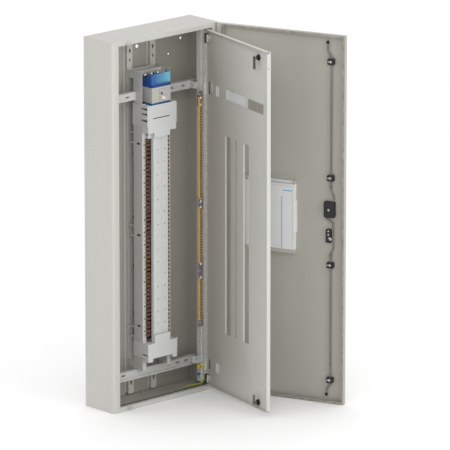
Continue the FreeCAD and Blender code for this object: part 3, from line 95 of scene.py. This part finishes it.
class Material:
    """A node material with object-space coordinates; each method adds one layer to it."""

    def __init__(self, name, metallic=0.0, coat=0.0, coat_rough=0.1):
        self.material = bpy.data.materials.new(name)
        self.material.use_nodes = True
        self.tree = self.material.node_tree
        self.shader = self.tree.nodes["Principled BSDF"]
        self.shader.inputs["Metallic"].default_value = metallic
        self.shader.inputs["Coat Weight"].default_value = coat
        self.shader.inputs["Coat Roughness"].default_value = coat_rough
        self.position = self.add("ShaderNodeTexCoord").outputs["Object"]
        self.normal = None

    def add(self, kind, **values):
        node = self.tree.nodes.new(kind)
        for key, value in values.items():
            setattr(node, key, value)
        return node

    def link(self, a, b):
        self.tree.links.new(a, b)

    def noise(self, scale, detail=3.0, stretch=EVEN):
        mapping = self.add("ShaderNodeMapping")
        mapping.inputs["Scale"].default_value = stretch
        self.link(self.position, mapping.inputs["Vector"])
        texture = self.add("ShaderNodeTexNoise")
        texture.inputs["Scale"].default_value = scale
        texture.inputs["Detail"].default_value = detail
        self.link(mapping.outputs["Vector"], texture.inputs["Vector"])
        return texture.outputs["Fac"]

    def spread(self, value, low, high):
        node = self.add("ShaderNodeMapRange")
        node.inputs["From Min"].default_value = NOISE_RANGE[0]
        node.inputs["From Max"].default_value = NOISE_RANGE[1]
        node.inputs["To Min"].default_value = low
        node.inputs["To Max"].default_value = high
        self.link(value, node.inputs["Value"])
        return node.outputs["Result"]

    def blend(self, factor, a, b):
        """Mix two colours. Each is a linear RGBA value or a colour socket."""
        node = self.add("ShaderNodeMix", data_type="RGBA")
        self.link(factor, node.inputs["Factor"])
        for socket, value in ((node.inputs[6], a), (node.inputs[7], b)):
            if isinstance(value, tuple):
                socket.default_value = value
            else:
                self.link(value, socket)
        return node.outputs[2]

    def axis(self, index):
        """One coordinate of the surface point, in metres."""
        return self.add_linked("ShaderNodeSeparateXYZ", self.position).outputs[index]

    def add_linked(self, kind, *sockets, **values):
        node = self.add(kind, **values)
        for i, socket in enumerate(sockets):
            self.link(socket, node.inputs[i])
        return node

    def times(self, a, b):
        return self.add_linked("ShaderNodeMath", a, b, operation="MULTIPLY").outputs[0]

    def ramp(self, value, start, end):
        """0 at start, 1 at end, straight between."""
        node = self.add_linked("ShaderNodeMapRange", value)
        node.inputs["From Min"].default_value = start
        node.inputs["From Max"].default_value = end
        return node.outputs["Result"]

    def above(self, height, half):
        """0 under a height and 1 over it; half is half the depth of the change."""
        return self.ramp(self.axis(2), height - half, height + half)

    def below(self, height, half):
        """1 under a height and 0 over it; half is half the depth of the change."""
        return self.ramp(self.axis(2), height + half, height - half)

    def within(self, low, high, half=0.2):
        """1 inside the box between two corners, in millimetres, and 0 outside it."""
        product = None
        for i in range(3):
            for start, end in ((low[i] - half, low[i] + half), (high[i] + half, high[i] - half)):
                side = self.ramp(self.axis(i), start * MM, end * MM)
                product = side if product is None else self.times(product, side)
        return product

    def roughness(self, low, high, scale, stretch=EVEN):
        self.link(self.spread(self.noise(scale, 4.0, stretch), low, high), self.shader.inputs["Roughness"])

    def bump(self, scale, strength, distance, stretch=EVEN):
        node = self.add("ShaderNodeBump")
        node.inputs["Strength"].default_value = strength
        node.inputs["Distance"].default_value = distance
        self.link(self.noise(scale, 2.0, stretch), node.inputs["Height"])
        if self.normal is not None:
            self.link(self.normal, node.inputs["Normal"])
        self.normal = node.outputs["Normal"]
        self.link(self.normal, self.shader.inputs["Normal"])

    def soft_edges(self, radius):
        node = self.add("ShaderNodeBevel", samples=4)
        node.inputs["Radius"].default_value = radius
        self.normal = node.outputs["Normal"]

    def worn(self, base, edge, amount):
        """Blend an edge colour over the outer edges, broken up by a fine noise."""
        geometry = self.add("ShaderNodeNewGeometry")
        edges = self.spread(geometry.outputs["Pointiness"], 0.0, amount)
        edges.node.inputs["From Min"].default_value = EDGE_RANGE[0]
        edges.node.inputs["From Max"].default_value = EDGE_RANGE[1]
        broken = self.times(edges, self.spread(self.noise(90.0), 0.3, 1.0))
        return self.blend(broken, base, edge)

    def colour(self, value):
        self.link(value, self.shader.inputs["Base Color"])
        return self.material


def mottled(m, rgb, shift, patches):
    """Two near tones of one colour, so that large faces aren't flat."""
    low = lighter(rgb, 1 - shift)
    high = lighter(rgb, 1 + shift)
    return m.blend(m.spread(m.noise(patches, 5.0), 0.0, 1.0), low, high)


def coated(name):
    """The grain and sheen that all powder-coated sheet shares."""
    m = Material(name)
    m.soft_edges(0.8 * MM)
    m.bump(1400.0, 0.12, 0.2 * MM)
    m.roughness(0.42, 0.56, 30.0)
    return m


def plastic(name, low, high, grain_depth=0.15):
    """The fine grain and sheen that all moulded plastic shares."""
    m = Material(name)
    m.soft_edges(0.5 * MM)
    m.bump(900.0, grain_depth, 0.12 * MM)
    m.roughness(low, high, 40.0)
    return m


def lacquered(name):
    """The clear shine of the blue covers."""
    m = Material(name, coat=0.7, coat_rough=0.06)
    m.soft_edges(0.8 * MM)
    m.bump(240.0, 0.05, 0.1 * MM)
    m.roughness(0.12, 0.24, 60.0)
    return m


def powder_coat(name, rgb):
    """Painted sheet of one colour."""
    m = coated(name)
    return m.colour(m.worn(mottled(m, rgb, 0.01, PANEL_PATCHES), lighter(rgb, EDGE_GAIN), 0.5))


def box_paint(name, outside, inside):
    """Powder coat with painted shade: a darker tone on the faces inside the cabinet."""
    m = coated(name)
    inside_shade_mask = m.within(*INSIDE_SHADE_BOX)
    outer = m.worn(mottled(m, outside, 0.01, PANEL_PATCHES), lighter(outside, EDGE_GAIN), 0.5)
    return m.colour(m.blend(inside_shade_mask, outer, mottled(m, inside, 0.012, PANEL_PATCHES)))


def door_paint(name, index, start, end, hinge_side, free_side):
    """Powder coat running from one tone at the hinge side to another at the free side: painted light and shade for
    how light falls on the open door.

    index picks the coordinate the change follows; start and end are its two ends, in metres.
    """
    m = coated(name)
    painted_light_ramp = m.ramp(m.axis(index), start, end)
    near = mottled(m, hinge_side, 0.008, PANEL_PATCHES)
    tone = m.blend(painted_light_ramp, near, mottled(m, free_side, 0.008, PANEL_PATCHES))
    return m.colour(m.worn(tone, lighter(free_side, EDGE_GAIN), 0.5))


def highlighted_cover(name, left, right, foot, foot_top):
    """Glossy cover whose colour runs from its left edge to its right, a painted highlight and reflection on it,
    over a darker foot.

    foot_top is the height where the foot ends, in metres.
    """
    m = lacquered(name)
    painted_light_ramp = m.ramp(m.axis(0), -0.03, 0.05)
    upper = m.blend(painted_light_ramp, mottled(m, left, 0.05, GLOSS_PATCHES), mottled(m, right, 0.05, GLOSS_PATCHES))
    return m.colour(m.blend(m.above(foot_top, 3 * MM), mottled(m, foot, 0.05, GLOSS_PATCHES), upper))


def switch_body(name, middle, ends):
    """Moulded case that is one colour beside the front plate and another beside the two covers."""
    m = plastic(name, 0.3, 0.45)
    upper = m.above(1.360, 0.3 * MM)
    lower = m.below(1.294, 0.3 * MM)
    foot = m.blend(lower, mottled(m, middle, 0.01, PLASTIC_PATCHES), mottled(m, ends, 0.08, GLOSS_PATCHES))
    return m.colour(m.blend(upper, foot, mottled(m, ends, 0.08, GLOSS_PATCHES)))


def tipped_rod(name, top):
    """Plated rod with a black moulded end; top tells which end of the door it is on."""
    m = Material(name, metallic=0.6)
    m.soft_edges(0.4 * MM)
    m.bump(260.0, 0.10, 0.1 * MM, UPRIGHT)
    m.roughness(0.25, 0.4, 50.0)
    black = m.above(1.5589, 0.1 * MM) if top else m.below(0.0411, 0.1 * MM)
    plating = mottled(m, (128, 126, 121), 0.06, METAL_PATCHES)
    return m.colour(m.blend(black, plating, mottled(m, (30, 30, 32), 0.1, METAL_PATCHES)))


def pocket_plastic(name, face, border):
    """Moulded sheet whose foot and upper edge are duller than its face."""
    m = plastic(name, 0.3, 0.45, 0.12)
    foot = m.below(0.653, 0.5 * MM)
    head = m.above(0.937, 0.5 * MM)
    middle = mottled(m, face, 0.01, PLASTIC_PATCHES)
    lower = m.blend(foot, middle, mottled(m, border, 0.02, PLASTIC_PATCHES))
    return m.colour(m.blend(head, lower, mottled(m, border, 0.02, PLASTIC_PATCHES)))


def moulded(name, rgb, low=0.35, high=0.5):
    """Moulded plastic of one colour; low and high are the ends of its roughness."""
    m = plastic(name, low, high)
    return m.colour(m.worn(mottled(m, rgb, 0.01, PLASTIC_PATCHES), lighter(rgb, EDGE_GAIN, 4), 0.35))


def glossy(name, rgb):
    """Shiny plastic of one colour."""
    m = lacquered(name)
    return m.colour(m.worn(mottled(m, rgb, 0.05, GLOSS_PATCHES), lighter(rgb, 1.3, 20), 0.6))


def bare_metal(name, rgb, low, high, stretch, tarnish=0.05, metallic=1.0):
    """Unpainted metal; low and high are the ends of its roughness."""
    m = Material(name, metallic=metallic)
    m.soft_edges(0.4 * MM)
    m.bump(260.0, 0.10, 0.1 * MM, stretch)
    m.roughness(low, high, 50.0, stretch)
    return m.colour(m.worn(mottled(m, rgb, tarnish, METAL_PATCHES), lighter(rgb, 1.15, 8), 0.8))


def foam_rubber(name, rgb):
    """Matt, grainy sealing strip."""
    m = Material(name)
    m.bump(700.0, 0.5, 0.3 * MM)
    m.roughness(0.75, 0.92, 80.0)
    return m.colour(mottled(m, rgb, 0.15, 40.0))


def striped(name, ground, stripe, bands):
    """Insulation with a second colour in bands round a lead."""
    m = Material(name)
    m.bump(500.0, 0.1, 0.1 * MM)
    m.roughness(0.3, 0.45, 60.0)
    wave = m.add("ShaderNodeTexWave")
    wave.inputs["Scale"].default_value = bands
    wave.inputs["Distortion"].default_value = 0.4
    m.link(m.position, wave.inputs["Vector"])
    sharp = m.spread(wave.outputs["Fac"], 0.0, 1.0)
    sharp.node.inputs["From Min"].default_value = 0.47
    sharp.node.inputs["From Max"].default_value = 0.53
    return m.colour(m.blend(sharp, linear(ground), linear(stripe)))


def printed_sheet(name, rgb, line):
    """Paper with pale printed rules."""
    m = Material(name)
    m.bump(180.0, 0.2, 0.2 * MM)
    m.roughness(0.6, 0.75, 30.0)
    wave = m.add("ShaderNodeTexWave", bands_direction="Z")
    wave.inputs["Scale"].default_value = 9.0
    m.link(m.position, wave.inputs["Vector"])
    rule = m.spread(wave.outputs["Fac"], 0.0, 0.5)
    rule.node.inputs["From Min"].default_value = 0.93
    rule.node.inputs["From Max"].default_value = 0.97
    return m.colour(m.blend(rule, mottled(m, rgb, 0.01, 6.0), linear(line)))


# The finish of each material slot of the record.
FINISH = {
    # cabinet_paint: the second, darker tone is painted shade for the inside of the cabinet.
    "cabinet_paint": box_paint("cabinet_paint", (184, 183, 178), (166, 163, 154)),
    # outer door: the lighter tone at the hinge side is painted light, making up for the shade between the two
    # doors.
    "door_paint": door_paint("door_paint", 0, 0.32, 0.44, (188, 186, 178), (162, 159, 151)),
    "zinc_plated": bare_metal("zinc_plated", (168, 170, 170), 0.34, 0.5, UPRIGHT),
    "bright_steel": bare_metal("bright_steel", (205, 206, 205), 0.2, 0.34, EVEN),
    "black_rubber": foam_rubber("black_rubber", (26, 26, 27)),
    "copper": bare_metal("copper", (122, 92, 74), 0.36, 0.52, UPRIGHT, 0.12),
    "brass": bare_metal("brass", (233, 187, 114), 0.3, 0.42, UPRIGHT, 0.06, 0.45),
    "white_plastic": moulded("white_plastic", (197, 198, 197)),
    "paper": printed_sheet("paper", (236, 238, 238), (150, 190, 220)),
    "black_plastic": moulded("black_plastic", (30, 30, 32), 0.4, 0.6),
    "grey_plastic": moulded("grey_plastic", (128, 131, 134), 0.45, 0.6),
    "blue_plastic": glossy("blue_plastic", (24, 92, 160)),
    "green_yellow": striped("green_yellow", (70, 150, 60), (226, 208, 50), 30.0),
    "chrome": bare_metal("chrome", (214, 215, 218), 0.08, 0.16, EVEN, 0.02),
}
# Nodes whose look differs from the rest of their slot.
OTHER_FINISH = (
    # inner door: darker at the hinge side and lighter at the free edge, painted shade and light for how light
    # falls on it.
    (door_paint("inner_door_paint", 1, -0.12, -0.56, (158, 154, 145), (188, 188, 183)),
     ("inner_door_panel",)),
    (powder_coat("frame_paint", (188, 187, 184)),
     ("upper_arms", "lower_cross_rail", "chassis", "hinge_post", "hinge_leaves",
      "inner_hinge_knuckles", "outer_hinge_knuckles", "post_brackets", "rod_keepers")),
    (powder_coat("rear_rail_paint", (196, 194, 187)), ("rear_rails", "switch_plate")),
    (moulded("switch_grey", (178, 178, 177), 0.4, 0.55), ("main_switch_facia",)),
    (switch_body("switch_case_tones", (178, 178, 177), (34, 76, 138)), ("main_switch_case",)),
    (bare_metal("switch_terminal_plating", (188, 186, 182), 0.3, 0.45, EVEN),
     ("switch_terminals", "switch_links")),
    # The left-to-right change of colour on each blue cover is a painted highlight and reflection.
    (highlighted_cover("upper_cover_blue", (44, 94, 158), (104, 178, 200), (28, 52, 120), 1.373),
     ("switch_cover_upper",)),
    (highlighted_cover("lower_cover_blue", (40, 104, 150), (34, 76, 128), (28, 60, 120), 1.281),
     ("switch_cover_lower",)),
    (moulded("toggle_cream", (238, 228, 214)), ("main_switch_toggle",)),
    (foam_rubber("gasket_grey", (142, 139, 131)), ("door_gasket",)),
    (pocket_plastic("pocket_grey", (218, 219, 219), (172, 170, 163)), ("document_pocket",)),
    (moulded("carrier_mauve", (150, 142, 146)), ("link_bar_carriers",)),
    (bare_metal("bronze_screw", (143, 104, 60), 0.25, 0.4, EVEN, 0.05, 0.5), ("link_bar_screws",)),
    (bare_metal("cam_steel", (128, 126, 122), 0.42, 0.58, EVEN), ("inner_cam_top", "inner_cam_bottom")),
    (tipped_rod("upper_rod_finish", True), ("upper_rod",)),
    (tipped_rod("lower_rod_finish", False), ("lower_rod",)),
)
# Finishes used only on the small pieces added here.
ORANGE = moulded("orange_plastic", (176, 128, 66))
CYAN = moulded("cyan_tape", (92, 176, 222))
DARK = moulded("dark_plastic", (62, 61, 60))
CREAM = moulded("cream_plastic", (178, 177, 160))
PALE = moulded("pale_plastic", (226, 227, 226))

for part in frame["record"]["subparts"]:
    shape = frame["nodes"][part["node"]]
    shape.data.materials.clear()
    shape.data.materials.append(FINISH[part["material_slot"]])
for finish, names in OTHER_FINISH:
    for name in names:
        frame["nodes"][name].data.materials[0] = finish


# ---- places that turn with the doors --------------------------------------
JOINT = {joint["name"]: joint for joint in frame["joints"]}


def opened(joint_name):
    """The matrix that takes a point of the closed door to its place at rest."""
    joint = JOINT[joint_name]
    pivot = Vector(joint["pos_m"])
    angle = math.radians(-joint["range_deg"][0])
    return Matrix.Translation(pivot) @ Matrix.Rotation(angle, 4, "Z") @ Matrix.Translation(-pivot)


OUTER = opened("outer_door_hinge")
INNER = opened("inner_door_hinge")
AS_BUILT = Matrix.Identity(4)


# ---- builders of small pieces ---------------------------------------------
# Sides of the polygon that stands for a circle.
SIDES = 28
# The way a round head points on the closed cabinet: to the front, or to the back.
FORWARD = (0, -1, 0)
BACKWARD = (0, 1, 0)


def finish_piece(name, mesh, place, body, material):
    """Put a mesh in the scene as a named piece that rides on one body of the frame."""
    mesh.normal_update()
    data = bpy.data.meshes.new(name)
    mesh.to_mesh(data)
    mesh.free()
    data.transform(place)
    data.materials.append(material)
    piece = bpy.data.objects.new(name, data)
    bpy.context.scene.collection.objects.link(piece)
    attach(piece, body)


def add_block(mesh, low, high, bevel=0.4):
    """A bevelled box between two corners, in millimetres."""
    low, high = Vector(low) * MM, Vector(high) * MM
    middle = Matrix.Translation((low + high) / 2)
    scale = Matrix.Diagonal((*(high - low), 1.0))
    made = bmesh.ops.create_cube(mesh, size=1.0, matrix=middle @ scale)
    edges = list({e for v in made["verts"] for e in v.link_edges})
    bmesh.ops.bevel(mesh, geom=edges, offset=bevel * MM, segments=2, affect="EDGES")


def add_disc(mesh, centre, axis, radius, height):
    """A low round head with a chamfered rim; the centre is on its back face."""
    axis = Vector(axis).normalized()
    turn = Vector((0, 0, 1)).rotation_difference(axis).to_matrix().to_4x4()
    made = bmesh.ops.create_cone(
        mesh, cap_ends=True, segments=SIDES, radius1=radius * MM, radius2=radius * MM, depth=height * MM,
        matrix=Matrix.Translation(Vector(centre) * MM + axis * height * MM / 2) @ turn)
    top = [v for v in made["verts"] if (v.co - Vector(centre) * MM).dot(axis) > height * MM / 2]
    rim = [e for v in top for e in v.link_edges if e.other_vert(v) in top]
    bmesh.ops.bevel(mesh, geom=list(set(rim)), offset=radius / 4 * MM, segments=2, affect="EDGES")


def blocks(name, corners, place, body, material, bevel=0.4):
    """One piece made of bevelled boxes, each given by two corners in millimetres."""
    mesh = bmesh.new()
    for low, high in corners:
        add_block(mesh, low, high, bevel)
    finish_piece(name, mesh, place, body, material)


def discs(name, centres, axis, radius, height, place, body, material):
    """One piece made of equal round heads, each given by its centre in millimetres."""
    mesh = bmesh.new()
    for centre in centres:
        add_disc(mesh, centre, axis, radius, height)
    finish_piece(name, mesh, place, body, material)


def corners_mm(node):
    """The low and high corners of a node's box, in millimetres."""
    low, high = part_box(node)
    return low / MM, high / MM


# ---- visual pieces ----------------------------------------------------------
def switch_details():
    """The window, button, mark and ridges on the front of the main switch."""
    low, high = corners_mm("main_switch_facia")
    front = corners_mm("switch_cover_upper")[0].y
    middle = (low.x + high.x) / 2
    blocks("switch_window", [((low.x + 6, low.y + 2.0, 1306), (middle - 18, low.y + 2.6, 1346))],
           AS_BUILT, "cabinet", CREAM)
    discs("switch_trip_button", [(middle + 23, low.y + 1.0, 1318)], FORWARD, 3.4, 1.6,
          AS_BUILT, "cabinet", CREAM)
    discs("switch_cover_mark", [(middle + 14, front, 1384)], FORWARD, 4.2, 0.9,
          AS_BUILT, "cabinet", ORANGE)
    ridges = [((low.x + 8, front - 0.7, z), (high.x - 8, front + 0.4, z + 1.4)) for z in (1366, 1371, 1376)]
    blocks("switch_cover_ridges", ridges, AS_BUILT, "cabinet", FINISH["blue_plastic"], 0.3)


def chassis_dots():
    """Round plugs in every third hole down both front flanges of the chassis."""
    low, high = corners_mm("chassis")
    first, pitch, count, inset = 302, 54, 16, 11
    heights = [first + pitch * i for i in range(count)]
    places = [(x, low.y, z) for z in heights for x in (low.x + inset, high.x - inset)]
    discs("chassis_plugs", places, FORWARD, 3.0, 0.8, AS_BUILT, "cabinet", DARK)


def carrier_caps():
    """Round steel caps on the fronts of the carriers that hold the link bars."""
    front = corners_mm("link_bar_carriers")[0].y
    places = [(232, front, z) for z in (290, 520.5, 816.5, 1289)]
    discs("carrier_caps", places, FORWARD, 5.0, 1.4, AS_BUILT, "cabinet",
          FINISH["bright_steel"])


def bar_markers():
    """Round white markers clipped on the screws of the link bars."""
    low, high = corners_mm("link_bars")
    places = [((low.x + high.x) / 2, low.y - 1.2, z) for z in (1275, 1245, 825, 800, 550, 490)]
    discs("bar_markers", places, FORWARD, 6.2, 1.6, AS_BUILT, "cabinet", PALE)


def copper_backing():
    """Copper strip behind the upper end of the top bar."""
    low, high = corners_mm("link_bars")
    blocks("bar_backing", [((low.x - 3, high.y - 1, 1238), (high.x + 3, high.y + 1.2, 1287))],
           AS_BUILT, "cabinet", FINISH["copper"])


def guide_caps():
    """A round plated cap in the middle of each rod guide."""
    places = [(-229, -97, z) for z in (100, 603, 981, 1482)]
    discs("guide_caps", places, BACKWARD, 5.2, 1.6, OUTER, "outer_door",
          FINISH["bright_steel"])


def pocket_lines():
    """Pale blue tape on the document pocket: one strip down it and one along its top."""
    front = -92.9
    strips = [((-10, front, 656), (-7, front + 0.35, 880)), ((-56, front, 906), (-14, front + 0.35, 910))]
    blocks("pocket_tape", strips, OUTER, "outer_door", CYAN, 0.1)


def pocket_ribs():
    """Stiffening ribs moulded into the pocket's front face."""
    x0, x1, z0, z1 = -66, 163, 635, 940
    front = -93.5
    ribs = [((x0 + 6, front, z), (x1 - 6, front + 0.6, z + 2.2)) for z in (z0 + 8, z1 - 14)]
    ribs += [((x, front, z0 + 8), (x + 2.2, front + 0.6, z1 - 12)) for x in (x0 + 6, x1 - 8)]
    blocks("pocket_ribs", ribs, OUTER, "outer_door", FINISH["white_plastic"], 0.25)


def lock_rings():
    """Raised rings round the two turn locks of the inner door."""
    places = [(-169, -87.2, z) for z in (46, 1536)]
    bore, rim, height = 9, 11.4, 0.6
    mesh = bmesh.new()
    for x, y, z in places:
        for k in range(SIDES):
            a = math.tau * k / SIDES
            b = math.tau * (k + 1) / SIDES
            quad = []
            for angle, radius in ((a, bore), (b, bore), (b, rim), (a, rim)):
                spot = Vector((x + radius * math.cos(angle), y - height, z + radius * math.sin(angle)))
                quad.append(mesh.verts.new(spot * MM))
            mesh.faces.new(quad)
    bmesh.ops.remove_doubles(mesh, verts=mesh.verts, dist=1e-6)
    made = bmesh.ops.extrude_face_region(mesh, geom=list(mesh.faces))
    moved = [v for v in made["geom"] if isinstance(v, bmesh.types.BMVert)]
    bmesh.ops.translate(mesh, verts=moved, vec=(0, height * MM, 0))
    bmesh.ops.recalc_face_normals(mesh, faces=mesh.faces)
    finish_piece("lock_rings", mesh, INNER, "inner_door", FINISH["chrome"])


switch_details()
chassis_dots()
carrier_caps()
bar_markers()
copper_backing()
guide_caps()
pocket_lines()
pocket_ribs()
lock_rings()


# ---- studio -----------------------------------------------------------------
def floor():
    """A pale floor just under the lowest point."""
    mesh = bmesh.new()
    bmesh.ops.create_grid(mesh, x_segments=1, y_segments=1, size=60.0)
    data = bpy.data.meshes.new("floor")
    mesh.to_mesh(data)
    mesh.free()
    ground = bpy.data.objects.new("floor", data)
    ground.location.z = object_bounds()[0].z - 0.0005
    bpy.context.scene.collection.objects.link(ground)
    m = Material("floor_paper")
    m.roughness(0.8, 0.9, 2.0)
    m.colour(mottled(m, (250, 250, 250), 0.004, 1.0))
    data.materials.append(m.material)
    ground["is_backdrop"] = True


def area_light(name, place, target, size, power):
    """A round lamp at one point, aimed at another."""
    data = bpy.data.lights.new(name, "AREA")
    data.shape = "DISK"
    data.size = size
    data.energy = power
    light = bpy.data.objects.new(name, data)
    light.location = place
    light.rotation_mode = "QUATERNION"
    light.rotation_quaternion = (Vector(target) - Vector(place)).to_track_quat("-Z", "Y")
    bpy.context.scene.collection.objects.link(light)


def sky(strength):
    """Even white light from all round."""
    world = bpy.data.worlds.new("studio")
    world.use_nodes = True
    world.node_tree.nodes["Background"].inputs["Color"].default_value = (1, 1, 1, 1)
    world.node_tree.nodes["Background"].inputs["Strength"].default_value = strength
    bpy.context.scene.world = world
    bpy.context.scene.view_settings.view_transform = "Standard"


def camera():
    """A long lens far off, in front and to the left."""
    data = bpy.data.cameras.new("camera")
    data.sensor_width = 36
    data.lens = 486.6
    data.clip_end = 200
    cam = bpy.data.objects.new("camera", data)
    target = Vector((0.41986, 0, 0.67667))
    cam.location = (-16.615, -18.414, 7.304)
    cam.rotation_mode = "QUATERNION"
    cam.rotation_quaternion = (target - cam.location).to_track_quat("-Z", "Y")
    bpy.context.scene.collection.objects.link(cam)
    bpy.context.scene.camera = cam


floor()
sky(1.05)
area_light("key", (-3.2, -3.6, 4.2), (0, -0.1, 0.8), 2.6, 30)
area_light("fill", (0.6, -5.0, 1.8), (0.4, -0.2, 0.7), 2.2, 46)
camera()
